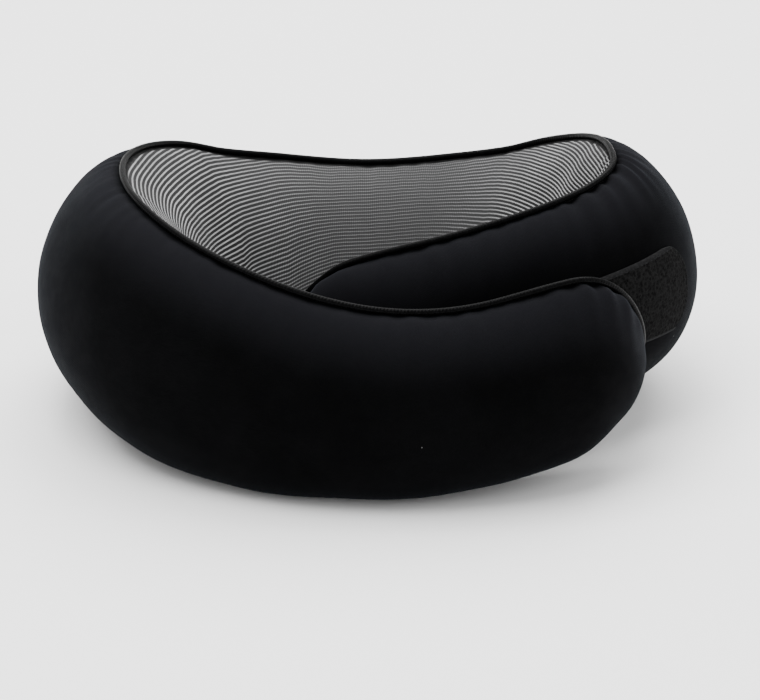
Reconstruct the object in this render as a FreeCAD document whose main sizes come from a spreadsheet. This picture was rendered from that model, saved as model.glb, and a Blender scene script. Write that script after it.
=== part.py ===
"""Wrap-around U shaped travel neck pillow: jointed foam core, liner, zipped cover with piping, closure patches.

Frame: +Z up, +Y towards the nape, origin on the resting surface under the middle of the pillow.
The left arm (-X) wraps across the front outside the right arm (+X) and fastens on it.
"""
import FreeCAD, Part
import Sketcher

import math
import os

from FreeCAD import Placement, Rotation, Vector

DOC = FreeCAD.newDocument("neck_pillow")
UP = Vector(0, 0, 1)

# Driving dimensions, millimetres and degrees.
SIZES = {
    "half_width": 137.0, "half_depth": 118.5, "side_wall": 74.0, "side_height": 108.0,
    "ground_lift": 1.3, "tip_corner": 42.0, "tip_fade": 70.0, "joint_gap": 1.0, "section_step": 15.0,
    "liner_thick": 0.5, "cover_thick": 1.0, "neck_thick": 1.1, "layer_gap": 0.15, "seam_share": 0.012,
    "piping_dia": 3.6, "patch_thick": 1.2,
    "zip_share": 0.56, "zip_reach": 74.0,
    "tape_width": 11.0, "tape_thick": 0.6, "coil_width": 2.3, "coil_thick": 1.7, "coil_gap": 0.1,
    "stop_length": 3.0, "stop_width": 6.4, "stop_thick": 3.0,
    "slider_length": 11.0, "slider_width": 9.4, "slider_thick": 3.8, "slider_gap": 0.45,
    "channel_width": 6.4, "channel_depth": 2.5, "post_thick": 1.3, "post_height": 4.6, "post_length": 4.0,
    "bar_dia": 1.7, "bar_rise": 3.0, "pull_eye": 4.6, "pull_bore": 2.1, "pull_length": 24.0,
    "pull_width": 6.0, "pull_thick": 1.6, "head_width": 3.0, "pull_droop": 12.0,
}

# One row per station along an arm's outer face, from the nape to the tip: place as shares of half_width and
# half_depth, wall as a share of side_wall, top seam and underside as shares of side_height, and how far the
# neck side bulges past the seams.
NAPE = (0.0, 0.996, 0.81, 0.676, 0.0, 1.0)
LEFT_ARM = [
    NAPE,
    (-0.38, 0.937, 0.84, 0.73, 0.0, 1.0),
    (-0.615, 0.826, 0.88, 0.79, 0.009, 1.0),
    (-0.76, 0.69, 0.92, 0.852, 0.018, 1.0),
    (-0.982, 0.25, 1.0, 0.935, 0.037, 1.0),
    (-0.971, -0.235, 0.97, 0.955, 0.046, 1.0),
    (-0.763, -0.655, 0.80, 0.94, 0.018, 1.0),
    (-0.40, -0.911, 0.59, 0.84, 0.0, 1.0),
    (0.0, -1.0, 0.56, 0.73, 0.0, 1.0),
    (0.365, -0.97, 0.53, 0.74, 0.04, 1.0),
    (0.657, -0.835, 0.45, 0.797, 0.1, 1.0),
    (0.883, -0.66, 0.31, 0.74, 0.15, 1.0),
]
RIGHT_ARM = [
    NAPE,
    (0.38, 0.937, 0.84, 0.73, 0.0, 1.0),
    (0.615, 0.826, 0.88, 0.80, 0.009, 1.0),
    (0.76, 0.69, 0.92, 0.87, 0.018, 0.95),
    (0.987, 0.25, 1.04, 0.99, 0.056, 0.7),
    (0.975, -0.16, 0.95, 1.0, 0.11, 0.45),
    (0.774, -0.427, 0.73, 0.965, 0.11, 0.45),
    (0.467, -0.567, 0.65, 0.89, 0.083, 0.7),
    (0.13, -0.60, 0.595, 0.796, 0.056, 0.9),
    (-0.146, -0.56, 0.54, 0.705, 0.046, 1.0),
    (-0.35, -0.45, 0.40, 0.56, 0.056, 1.0),
]
SPLIT = 2  # the station where the arm meets the nape stretch, and its hinge

# Cross-section, as (share of the wall inward from the outer face, share of the height): the outer face from
# the top seam round to the bottom seam, then the neck face back up to the top seam.
OUTER_FACE = [(0.50, 1.0), (0.35, 0.965), (0.13, 0.79), (0.0, 0.48), (0.08, 0.18), (0.32, 0.02), (0.55, 0.0),
              (0.80, 0.07)]
NECK_FACE = [(0.80, 0.07), (0.985, 0.32), (0.90, 0.68), (0.66, 0.92), (0.50, 1.0)]
TIP_SEAM = {(0.50, 1.0): 0.93, (0.35, 0.965): 0.62, (0.66, 0.92): 0.99}  # where those points go at the tip
TIP_SHARES = (0.775, 0.56, 0.38, 0.21, 0.095, 0.024)  # where the tip's extra sections stand, as shares of tip_corner
TIP_FILLED = 5  # how many of those the foam and its liner reach
TIP_POWER = 2.2
TIP_LEVEL = 0.46  # height share that the tip closes towards
TIP_LEAST_WALL = 0.12


def make_sheet():
    """The spreadsheet that holds the driving dimensions, one alias each."""
    sheet = DOC.addObject("Spreadsheet::Sheet", "Sizes")
    for row, (name, value) in enumerate(SIZES.items(), start=1):
        sheet.set(f"A{row}", name)
        sheet.set(f"B{row}", str(value))
        sheet.setAlias(f"B{row}", name)
    DOC.recompute()
    return sheet


SHEET = make_sheet()


def size(name):
    """A driving dimension, as the sheet has it."""
    return float(getattr(SHEET, name))


def bind(obj, prop, expression):
    """Binds a property to the sheet: words in the expression that name a cell become references to it."""
    words = expression.replace("(", " ( ").replace(")", " ) ").split()
    obj.setExpression(prop, " ".join(f"Sizes.{w}" if w in SIZES else w for w in words))


def spline(points, closed=False):
    curve = Part.BSplineCurve()
    curve.interpolate(Points=points, PeriodicFlag=closed)
    return curve


class Arm:
    """One half of the pillow, followed along its outer face from the nape to the tip."""

    def __init__(self, rows, side):
        self.side = side
        half_width, half_depth = size("half_width"), size("half_depth")
        wall, height = size("side_wall"), size("side_height")
        plan = [Vector(r[0] * half_width, r[1] * half_depth, 0) for r in rows]
        lift = size("ground_lift")
        values = [Vector(r[2] * wall, r[3] * height + lift, r[4] * height + lift) for r in rows]
        self.bulges = [r[5] for r in rows]
        self.params = [0.0]
        for a, b in zip(plan, plan[1:]):
            self.params.append(self.params[-1] + (b - a).Length)
        along_x = Vector(side, 0, 0)
        self.plan = Part.BSplineCurve()
        end_tangent = (plan[-1] - plan[-2]).normalize()
        self.plan.interpolate(Points=plan, Parameters=self.params, InitialTangent=along_x, FinalTangent=end_tangent)
        self.values = Part.BSplineCurve()
        mirrored = [values[1]] + values  # level at the nape's middle, where the two arms meet
        self.values.interpolate(Points=mirrored, Parameters=[-self.params[1]] + self.params)
        self.length = self.params[-1]

    def station(self, along):
        """Origin on the outer face, inward direction, wall, top, underside, closing share and tip share."""
        here = self.plan.value(along)
        travel = self.plan.tangent(along)[0]
        inward = UP.cross(travel) * -self.side
        wall, top, low = self.values.value(along)
        left = self.length - along
        closing = 1.0
        if left < size("tip_corner"):
            closing = (1 - (1 - left / size("tip_corner")) ** TIP_POWER) ** (1 / TIP_POWER)
        tip = (1 - min(1.0, left / size("tip_fade"))) ** 1.5
        return here, inward, wall, top, low, closing, tip

    def bulge(self, along):
        """How far the neck side bulges past the seams, blended smoothly between the rows."""
        row = max(i for i, p in enumerate(self.params[:-1]) if p <= along + 1e-9)
        share = (along - self.params[row]) / (self.params[row + 1] - self.params[row])
        blend = share * share * (3 - 2 * share)
        return self.bulges[row] + (self.bulges[row + 1] - self.bulges[row]) * blend

    def points(self, along, face):
        """The interpolation points of one face's curve in the section plane at a distance along the arm."""
        here, inward, wall, top, low, closing, tip = self.station(along)
        level = TIP_LEVEL * (top + low)
        top = level + (top - level) * closing
        low = level + (low - level) * closing
        thin = wall * (TIP_LEAST_WALL + (1 - TIP_LEAST_WALL) * closing)
        base = here + inward * (wall - thin)
        bulge = self.bulge(along)
        found = []
        for across, up in face:
            at = across + (TIP_SEAM.get((across, up), across) - across) * tip
            if at > 0.5:
                at = 0.5 + (at - 0.5) * bulge
            found.append(base + inward * (at * thin) + UP * (low + (top - low) * up))
        return found

    def curve(self, along, face, depth=0.0, span=(0.0, 1.0), count=9):
        """Points along a face's curve, moved inwards by depth (less towards the tip), over a span of it."""
        whole = spline(self.points(along, face))
        closing, tip = self.station(along)[5:]
        travel = self.plan.tangent(along)[0] * self.side
        low, high = whole.FirstParameter, whole.LastParameter
        found = []
        for i in range(count):
            t = low + (high - low) * (span[0] + (span[1] - span[0]) * i / (count - 1))
            point = whole.value(t)
            normal = whole.tangent(t)[0].cross(travel).normalize()
            found.append(point + normal * (depth * closing * (1 - 0.6 * tip)))
        return found

    def core_wire(self, along, depth):
        """The closed outline of the whole section, moved inwards."""
        outer = self.curve(along, OUTER_FACE, depth)
        neck = self.curve(along, NECK_FACE, depth)
        top = (outer[0] + neck[-1]) * 0.5
        bottom = (outer[-1] + neck[0]) * 0.5
        edges = [spline([top] + outer[1:-1] + [bottom]).toShape(),
                 spline([bottom] + neck[1:-1] + [top]).toShape()]
        return Part.Wire(edges)

    def band_wire(self, along, face, shallow, deep, span=(0.0, 1.0)):
        """The closed outline of a thin panel that follows one face between two depths."""
        near = self.curve(along, face, shallow, span)
        far = self.curve(along, face, deep, span)
        return Part.Wire([spline(near).toShape(), Part.makeLine(near[-1], far[-1]),
                          spline(far[::-1]).toShape(), Part.makeLine(far[0], near[0])])


    def sleeve_wire(self, along, shallow, deep):
        """The outline of a thin sleeve round the whole section, open by a slit along the top seam."""
        slit = size("seam_share")
        layers = []
        for depth in (shallow, deep):
            outer = self.curve(along, OUTER_FACE, depth, (slit, 1.0))
            neck = self.curve(along, NECK_FACE, depth, (0.0, 1 - slit))
            outer[-1] = neck[0] = (outer[-1] + neck[0]) * 0.5
            layers.append((outer, neck))
        (outer, neck), (outer_in, neck_in) = layers
        return Part.Wire([spline(outer).toShape(), spline(neck).toShape(), Part.makeLine(neck[-1], neck_in[-1]),
                          spline(neck_in[::-1]).toShape(), spline(outer_in[::-1]).toShape(),
                          Part.makeLine(outer_in[0], outer[0])])


LEFT = Arm(LEFT_ARM, -1)
RIGHT = Arm(RIGHT_ARM, 1)


def arm_stations(arm, shares=TIP_SHARES):
    """Distances of an arm's sections: even steps from its hinge to the tip, then the tip's closer ones."""
    start = arm.params[SPLIT] + size("joint_gap")
    corner = arm.length - size("tip_corner")
    count = round((corner - start) / size("section_step"))
    even = [start + (corner - start) * i / count for i in range(count + 1)]
    return even + [arm.length - size("tip_corner") * share for share in shares]


def nape_sections(make):
    """Wires of the nape stretch, from the left hinge round the back to the right hinge."""
    count = round(LEFT.params[SPLIT] / size("section_step"))
    left = [make(LEFT, LEFT.params[SPLIT] * i / count) for i in range(count, -1, -1)]
    right = [make(RIGHT, RIGHT.params[SPLIT] * i / count) for i in range(1, count + 1)]
    return left + right


def loft(label, wires):
    """A solid loft through section wires, as a Part::Loft over one Part::Feature for each wire."""
    sections = []
    for number, wire in enumerate(wires):
        section = DOC.addObject("Part::Feature", f"{label}_section_{number}")
        section.Shape = wire
        sections.append(section)
    made = DOC.addObject("Part::Loft", label)
    made.Sections = sections
    made.Solid = True
    made.Ruled = False
    made.Label = label
    return made


def soft_parts():
    """Foam, liner, cover panels: one of each for the nape stretch and for each arm."""
    liner, cover, neck = size("liner_thick"), size("cover_thick"), size("neck_thick")
    liner_at = cover + size("layer_gap")
    foam_at = liner_at + liner + size("layer_gap")
    sewn = (size("seam_share"), 1 - size("seam_share"))

    def foam(arm, p):
        return arm.core_wire(p, foam_at)

    def lining(arm, p):
        return arm.sleeve_wire(p, liner_at, liner_at + liner)

    def shell(arm, p):
        return arm.band_wire(p, OUTER_FACE, 0.0, cover, sewn)

    def panel(arm, p):
        return arm.band_wire(p, NECK_FACE, cover - neck, cover, sewn)

    made = {}
    for part, arm in (("nape", None), ("left", LEFT), ("right", RIGHT)):
        def sections(make, shares=TIP_SHARES, arm=arm):
            if arm is None:
                return nape_sections(make)
            return [make(arm, p) for p in arm_stations(arm, shares)]

        made[f"foam_core_{part}"] = loft(f"foam_core_{part}", sections(foam, TIP_SHARES[:TIP_FILLED]))
        made[f"liner_{part}"] = loft(f"liner_{part}", sections(lining, TIP_SHARES[:TIP_FILLED]))
        made[f"cover_shell_{part}"] = loft(f"cover_shell_{part}", sections(shell))
        made[f"neck_panel_{part}"] = loft(f"neck_panel_{part}", sections(panel))
    return made


def rounded_path(route, closeness=0.45):
    """Straight runs joined by tangent arcs as large as the two runs at each point allow."""
    edges, start = [], route[0]
    for before, corner, after in zip(route, route[1:], route[2:]):
        back, ahead = (before - corner), (after - corner)
        trim = closeness * min(back.Length, ahead.Length)
        back.normalize()
        ahead.normalize()
        first, last = corner + back * trim, corner + ahead * trim
        half = math.acos(max(-1.0, min(1.0, back.dot(ahead)))) / 2
        bisector = (back + ahead).normalize()
        radius = trim * math.tan(half)
        middle = corner + bisector * (trim / math.cos(half) - radius)
        edges.append(Part.makeLine(start, first))
        edges.append(Part.Arc(first, middle, last).toShape())
        start = last
    edges.append(Part.makeLine(start, route[-1]))
    return Part.Wire(edges)


def piping(label, route):
    """A round piping cord along a route of points, swept on runs and arcs."""
    path = DOC.addObject("Part::Feature", f"{label}_path")
    path.Shape = rounded_path(route)
    ring = DOC.addObject("Part::Feature", f"{label}_ring")
    circle = Part.makeCircle(size("piping_dia") / 2, route[0], route[1] - route[0])
    ring.Shape = Part.Wire([circle])
    cord = DOC.addObject("Part::Sweep", label)
    cord.Sections = [ring]
    cord.Spine = (path, [f"Edge{i + 1}" for i in range(len(path.Shape.Edges))])
    cord.Solid = True
    cord.Frenet = False
    return cord


def seam_point(arm, along, top):
    """A point on the piping's centreline: the top or bottom seam, pushed a little out of the fabric."""
    face = arm.points(along, OUTER_FACE)
    neck = arm.points(along, NECK_FACE)
    seam = face[0] if top else face[-1]
    inside = sum(face + neck, Vector()) * (1 / (len(face) + len(neck)))
    return seam + (seam - inside).normalize() * (size("piping_dia") * 0.3)


def piping_parts():
    """Top and bottom piping of the nape stretch, and one piping loop round each arm's tip."""
    made = {}
    clear = 1.2
    for name, top in (("top", True), ("bottom", False)):
        left_end, right_end = LEFT.params[SPLIT] - clear, RIGHT.params[SPLIT] - clear
        left = [seam_point(LEFT, p, top) for p in (left_end, left_end * 0.72, left_end * 0.44, left_end * 0.16)]
        right = [seam_point(RIGHT, p, top) for p in (right_end * 0.16, right_end * 0.44, right_end * 0.72, right_end)]
        made[f"piping_{name}_nape"] = piping(f"piping_{name}_nape", left + right)
    for part, arm in (("left", LEFT), ("right", RIGHT)):
        start = arm.params[SPLIT] + size("joint_gap") + clear
        corner = arm.length - size("tip_corner")
        count = round((corner - start) / 26)
        steps = [start + (corner - start) * i / count for i in range(count + 1)]
        steps += [arm.length - size("tip_corner") * share for share in (0.7, 0.45, 0.27, 0.14, 0.05)]
        top = [seam_point(arm, p, True) for p in steps]
        bottom = [seam_point(arm, p, False) for p in steps]
        end = arm.station(arm.length - 0.5)
        level = TIP_LEVEL * (end[3] + end[4])
        tip = end[0] + end[1] * (end[2] * 0.96) + arm.plan.tangent(arm.length)[0] * 1.5 + UP * level
        made[f"piping_{part}"] = piping(f"piping_{part}", top + [tip] + bottom[::-1])
    return made


def closure_parts():
    """Hook patch inside the left tip and loop patch outside the right arm, pressed towards each other."""
    thick = size("patch_thick")
    hooks = [LEFT.length - d for d in (84.0, 69.0, 54.0, 40.0)]
    loops = [RIGHT.params[5] + d for d in (5.0, 21.0, 37.0, 53.0, 70.0, 88.0, 105.0)]
    lift = size("neck_thick") - size("cover_thick")
    made = {
        "hook_patch": loft("hook_patch", [
            LEFT.band_wire(p, NECK_FACE, -thick - lift, -lift, (0.22, 0.66)) for p in hooks]),
        "loop_patch": loft("loop_patch", [
            RIGHT.band_wire(p, OUTER_FACE, -thick, 0.0, (0.3, 0.575)) for p in loops]),
    }
    return made


def origin_plane(body, role):
    return [f for f in body.Origin.OriginFeatures if f.Role == role][0]


def zip_station(turn):
    """The arm and the distance along it for a distance along the nape from its middle, + to the right."""
    return (RIGHT, turn) if turn >= 0 else (LEFT, -turn)


def zip_point(turn):
    """A point of the zip's centreline, on the cover's outer face."""
    arm, along = zip_station(turn)
    return arm.curve(along, OUTER_FACE, 0.0, (size("zip_share"), 1.0), 2)[0]


def zip_circle():
    """The circle the slider travels on: through the zip's middle and its two ends."""
    reach = size("zip_reach")
    found = Part.Arc(zip_point(-reach), zip_point(0), zip_point(reach)).toShape().Curve
    axis = found.Axis if found.Axis.z > 0 else found.Axis * -1
    return found.Center, axis, found.Radius


def zip_placement(turn, out):
    """Placement on the zip: X along the track, Y across it, Z out of the cover."""
    centre, axis, radius = zip_circle()
    middle = zip_point(0)
    deep = LEFT.curve(0.0, OUTER_FACE, 1.0, (size("zip_share"), 1.0), 2)[0]
    outward = (middle - deep).normalize()
    track = Vector(1, 0, 0)
    across = outward.cross(track)
    resting = Placement(middle + outward * out, Rotation(track, across, outward, "ZXY"))
    spin = Rotation(axis, -math.degrees(turn / radius))
    return Placement(centre, spin) * Placement(centre * -1, Rotation()) * resting


def rectangle(sketch, width, height, x="0", y="0"):
    """A rectangle centred at (x, y), each size an expression of sheet cells, drawn with real constraints."""
    corners = [Vector(-1, -1), Vector(1, -1), Vector(1, 1), Vector(-1, 1)]
    first = len(sketch.Geometry)
    for a, b in zip(corners, corners[1:] + corners[:1]):
        sketch.addGeometry(Part.LineSegment(a, b), False)
    for i in range(4):
        sketch.addConstraint(Sketcher.Constraint("Coincident", first + i, 2, first + (i + 1) % 4, 1))
    for i, kind in enumerate(("Horizontal", "Vertical", "Horizontal", "Vertical")):
        sketch.addConstraint(Sketcher.Constraint(kind, first + i))
    limits = [("DistanceX", (first, 1, first, 2), width), ("DistanceY", (first + 1, 1, first + 1, 2), height),
              ("DistanceX", (-1, 1, first, 2), f"{x} + ( {width} ) / 2"),
              ("DistanceY", (-1, 1, first + 1, 2), f"{y} + ( {height} ) / 2")]
    for kind, where, expression in limits:
        index = sketch.addConstraint(Sketcher.Constraint(kind, *where, 5.0))
        bind(sketch, f"Constraints[{index}]", expression)


def zip_strip(label, low, high, inner, outer):
    """A strip that follows the zip: distances across the track from its centreline, and heights off the cover."""
    wires = []
    reach, count = size("zip_reach"), 8
    for i in range(count + 1):
        arm, along = zip_station(reach * (2 * i / count - 1))
        length = spline(arm.points(along, OUTER_FACE)).length()
        span = (size("zip_share") - high / length, size("zip_share") - low / length)
        wires.append(arm.band_wire(along, OUTER_FACE, -outer, -inner, span))
    return loft(label, wires)


def padded(body, name, width, height, depth, x="0", y="0", plane="XY_Plane", lift="0", middle=False, cut=False):
    """A rectangle padded, or pocketed, from a plane of the body, at a distance from that plane."""
    sketch = body.newObject("Sketcher::SketchObject", f"{name}_outline")
    sketch.AttachmentSupport = [(origin_plane(body, plane), "")]
    sketch.MapMode = "FlatFace"
    bind(sketch, "AttachmentOffset.Base.z", lift)
    rectangle(sketch, width, height, x, y)
    feature = body.newObject("PartDesign::Pocket" if cut else "PartDesign::Pad", name)
    feature.Profile = sketch
    feature.Midplane = middle
    bind(feature, "Length", depth)
    return feature


def zip_parts():
    """Tapes, coils, end stops, slider and pull of the cover's zip, at the foot of the nape."""
    tape, coil, gap = size("tape_thick"), size("coil_thick"), size("coil_gap") / 2
    made = {}
    for name, sign in (("upper", 1), ("lower", -1)):
        tape_span = sorted((sign * gap, sign * (gap + size("tape_width"))))
        coil_span = sorted((sign * gap, sign * (gap + size("coil_width"))))
        made[f"zip_tape_{name}"] = zip_strip(f"zip_tape_{name}", *tape_span, 0.0, tape)
        made[f"zip_coil_{name}"] = zip_strip(f"zip_coil_{name}", *coil_span, tape, tape + coil)
    stops = []
    for name, sign in (("start", 1), ("end", -1)):
        stop = DOC.addObject("Part::Box", f"zip_stop_{name}")
        bind(stop, "Length", "stop_length")
        bind(stop, "Width", "stop_width")
        bind(stop, "Height", "stop_thick")
        corner = Placement(Vector(-size("stop_length") / 2, -size("stop_width") / 2, 0), Rotation())
        stop.Placement = zip_placement(sign * (size("zip_reach") - 2), tape - 0.3) * corner
        stops.append(stop)
    made["zip_stops"] = DOC.addObject("Part::Compound", "zip_stops")
    made["zip_stops"].Links = stops
    made["zip_slider"] = slider_body()
    made["zip_pull"] = pull_body()
    return made


def slider_turn():
    """Where the slider stands when the zip is closed, along the track from its middle."""
    return size("zip_reach") - 2 - size("slider_length") / 2 - size("stop_length") / 2 - 0.8


def slider_body():
    """Slider: a channelled block that straddles the coil, with two posts and a bar for the pull."""
    body = DOC.addObject("PartDesign::Body", "zip_slider")
    padded(body, "slider_block", "slider_length", "slider_width", "slider_thick", plane="XY_Plane")
    channel = padded(body, "slider_channel", "slider_length + 2", "channel_width", "channel_depth", cut=True)
    channel.Reversed = True
    for name, sign in (("upper", ""), ("lower", "0 - ")):
        middle = f"{sign}( head_width / 2 + post_thick / 2 + 0.3 )"
        padded(body, f"post_{name}", "post_length", "post_thick", "post_height", "0", middle, lift="slider_thick - 0.2")
    bar = body.newObject("Sketcher::SketchObject", "bar_outline")
    bar.AttachmentSupport = [(origin_plane(body, "XZ_Plane"), "")]
    bar.MapMode = "FlatFace"
    circle_at(bar, "bar_dia / 2", "slider_thick + bar_rise")
    pad = body.newObject("PartDesign::Pad", "bar")
    pad.Profile = bar
    pad.Midplane = True
    bind(pad, "Length", "head_width + 0.6 + post_thick")
    stand(body)
    return body


def circle_at(sketch, radius, height):
    """A circle on the sketch's upright axis, at a height, both bound to the sheet."""
    index = sketch.addGeometry(Part.Circle(Vector(0, 5, 0), UP, 1.0), False)
    for kind, where, expression in (("Radius", (index,), radius), ("DistanceY", (-1, 1, index, 3), height)):
        number = sketch.addConstraint(Sketcher.Constraint(kind, *where, 4.0))
        bind(sketch, f"Constraints[{number}]", expression)
    sketch.addConstraint(Sketcher.Constraint("PointOnObject", index, 3, -2))


def pull_body():
    """Pull: an eye round the slider's bar and a flat tongue that lies back along the closed track."""
    body = DOC.addObject("PartDesign::Body", "zip_pull")
    eye = body.newObject("Sketcher::SketchObject", "eye_outline")
    eye.AttachmentSupport = [(origin_plane(body, "XZ_Plane"), "")]
    eye.MapMode = "FlatFace"
    circle_at(eye, "pull_eye / 2", "slider_thick + bar_rise")
    pad = body.newObject("PartDesign::Pad", "eye")
    pad.Profile = eye
    pad.Midplane = True
    bind(pad, "Length", "head_width")
    padded(body, "neck", "pull_length / 3", "head_width", "pull_thick", "0 - pull_length / 6", "0",
           lift="slider_thick + bar_rise - pull_thick / 2")
    tongue = padded(body, "tongue", "pull_length * 2 / 3", "pull_width", "pull_thick", "0 - pull_length * 2 / 3", "0",
                    lift="slider_thick + bar_rise - pull_thick / 2")
    DOC.recompute()
    upright = [f"Edge{i + 1}" for i, e in enumerate(tongue.Shape.Edges)
               if abs(e.BoundBox.ZLength - size("pull_thick")) < 1e-6 and e.BoundBox.XMin < -size("pull_length") + 1e-6]
    rounding = body.newObject("PartDesign::Fillet", "tongue_rounding")
    rounding.Base = (tongue, upright)
    bind(rounding, "Radius", "pull_width * 0.45")
    hole = body.newObject("Sketcher::SketchObject", "bore_outline")
    hole.AttachmentSupport = [(origin_plane(body, "XZ_Plane"), "")]
    hole.MapMode = "FlatFace"
    circle_at(hole, "pull_bore / 2", "slider_thick + bar_rise")
    bore = body.newObject("PartDesign::Pocket", "bore")
    bore.Profile = hole
    bore.Type = "ThroughAll"
    bore.Midplane = True
    stand(body)
    bar = Vector(0, 0, size("slider_thick") + size("bar_rise"))
    droop = Rotation(Vector(0, 1, 0), -size("pull_droop"))
    body.Placement = body.Placement * Placement(bar, droop) * Placement(bar * -1, Rotation())
    return body


def stand(body):
    """Stands a zip piece, modelled with Z out of the track, on the track at the slider's place."""
    body.Placement = zip_placement(slider_turn(), size("tape_thick") + size("slider_gap"))


def failures(parts):
    """Objects that failed to recompute, and sub-parts whose shape is empty or not valid."""
    bad = [o.Name for o in DOC.Objects if {"Invalid", "Error"} & set(o.State)]
    bad += [n for n, o in parts.items() if o.Shape.isNull() or not o.Shape.isValid() or not o.Shape.Solids]
    return bad


def report(parts):
    """Prints what the record needs: overall box, hinge places and the zip's axes."""
    boxes = [o.Shape.BoundBox for o in parts.values()]
    print("box", [round(min(getattr(b, k) for b in boxes), 2) for k in ("XMin", "YMin", "ZMin")],
          [round(max(getattr(b, k) for b in boxes), 2) for k in ("XMax", "YMax", "ZMax")])
    for arm in (LEFT, RIGHT):
        print("hinge", [round(c, 2) for c in arm.plan.value(arm.params[SPLIT])], "length", round(arm.length, 1))
    pull = parts["zip_pull"].Placement
    bar = pull.multVec(Vector(0, 0, size("slider_thick") + size("bar_rise")))
    print("pull axis", [round(c, 3) for c in bar], [round(c, 5) for c in pull.Rotation.multVec(Vector(0, 1, 0))])
    centre, axis, radius = zip_circle()
    print("track centre", [round(c, 3) for c in centre], "axis", [round(c, 5) for c in axis])
    turns = [size("zip_reach") * share / 10 for share in range(-10, 11)]
    stray = [abs((zip_point(t) - centre).Length - radius) for t in turns]
    rise = [abs((zip_point(t) - centre).dot(axis)) for t in turns]
    print("radius", round(radius, 2), "stray", round(max(stray), 3), "rise", round(max(rise), 3))
    print("travel", round(math.degrees(2 * slider_turn() / radius), 2))


def main():
    parts = {**soft_parts(), **piping_parts(), **closure_parts(), **zip_parts()}
    for label, made in parts.items():
        made.Label = label
    DOC.recompute()
    bad = failures(parts)
    if bad:
        raise SystemExit(f"failed: {bad}")
    os.makedirs("parts", exist_ok=True)
    for label, made in parts.items():
        made.Shape.exportStep(f"parts/{label}.step")
        print(label, "volume", round(made.Shape.Volume / 1000, 2), "cm3, solids", len(made.Shape.Solids))
    report(parts)


main()
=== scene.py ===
"""Wrap-around U shaped travel neck pillow: stretch cover, ribbed neck panel, piping, closure patches, zip."""
import math

import bpy
import numpy as np
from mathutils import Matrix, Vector


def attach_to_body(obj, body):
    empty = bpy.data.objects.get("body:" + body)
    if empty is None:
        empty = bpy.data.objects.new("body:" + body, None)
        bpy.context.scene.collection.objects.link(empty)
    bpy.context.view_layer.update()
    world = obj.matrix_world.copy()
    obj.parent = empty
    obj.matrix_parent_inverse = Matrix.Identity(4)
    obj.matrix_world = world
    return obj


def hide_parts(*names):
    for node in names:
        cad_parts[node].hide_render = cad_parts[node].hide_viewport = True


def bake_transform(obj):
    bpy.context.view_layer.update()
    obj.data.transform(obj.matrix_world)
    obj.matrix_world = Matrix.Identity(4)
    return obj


MM = 0.001
UP = np.array([0.0, 0.0, 1.0])

# ---------------------------------------------------------------- shape, mm; stations as in the CAD part
HALF_WIDTH, HALF_DEPTH, SIDE_WALL, SIDE_HEIGHT, LIFT = 137.0, 118.5, 74.0, 108.0, 1.3
TIP_CORNER, TIP_FADE, TIP_POWER, TIP_LEVEL, TIP_LEAST_WALL = 42.0, 70.0, 2.0, 0.46, 0.12
SPLIT = 2
CUT = 5  # the station where the bending stretch ends and the stiff part of an arm begins
# place as shares of half width and depth, wall, top seam, underside, bulge of the neck side past the seams
NAPE = (0.0, 0.996, 0.81, 0.676, 0.0, 1.0)
LEFT_ARM = [
    NAPE,
    (-0.38, 0.937, 0.84, 0.73, 0.0, 1.0),
    (-0.615, 0.826, 0.88, 0.79, 0.009, 1.0),
    (-0.76, 0.69, 0.92, 0.852, 0.018, 1.0),
    (-0.982, 0.25, 1.0, 0.935, 0.037, 1.0),
    (-0.971, -0.235, 0.97, 0.955, 0.046, 1.0),
    (-0.763, -0.655, 0.80, 0.94, 0.018, 1.0),
    (-0.40, -0.911, 0.59, 0.84, 0.0, 1.0),
    (0.0, -1.0, 0.56, 0.73, 0.0, 1.0),
    (0.365, -0.97, 0.53, 0.74, 0.04, 1.0),
    (0.657, -0.835, 0.45, 0.797, 0.1, 1.0),
    (0.883, -0.66, 0.31, 0.74, 0.15, 1.0),
]
RIGHT_ARM = [
    NAPE,
    (0.38, 0.937, 0.84, 0.73, 0.0, 1.0),
    (0.615, 0.826, 0.88, 0.80, 0.009, 1.0),
    (0.76, 0.69, 0.92, 0.87, 0.018, 0.95),
    (0.987, 0.25, 1.04, 0.99, 0.056, 0.7),
    (0.975, -0.16, 0.95, 1.0, 0.11, 0.45),
    (0.774, -0.427, 0.73, 0.965, 0.11, 0.45),
    (0.467, -0.567, 0.65, 0.89, 0.083, 0.7),
    (0.13, -0.60, 0.595, 0.796, 0.056, 0.9),
    (-0.146, -0.56, 0.54, 0.705, 0.046, 1.0),
    (-0.35, -0.45, 0.40, 0.56, 0.056, 1.0),
]
OUTER_FACE = [(0.50, 1.0), (0.35, 0.965), (0.13, 0.79), (0.0, 0.48), (0.08, 0.18), (0.32, 0.02), (0.55, 0.0),
              (0.80, 0.07)]
NECK_FACE = [(0.80, 0.07), (0.985, 0.32), (0.90, 0.68), (0.66, 0.92), (0.50, 1.0)]
# towards a tip these points of a section move to other shares of the wall, which brings the piping to the edge
TIP_SEAM = {(0.50, 1.0): 0.36, (0.35, 0.965): 0.23, (0.66, 0.92): 0.74, (0.80, 0.07): 0.48, (0.55, 0.0): 0.36}
PIPING_RADIUS = 1.35
ZIP_SHARE, ZIP_REACH = 0.56, 74.0


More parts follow.
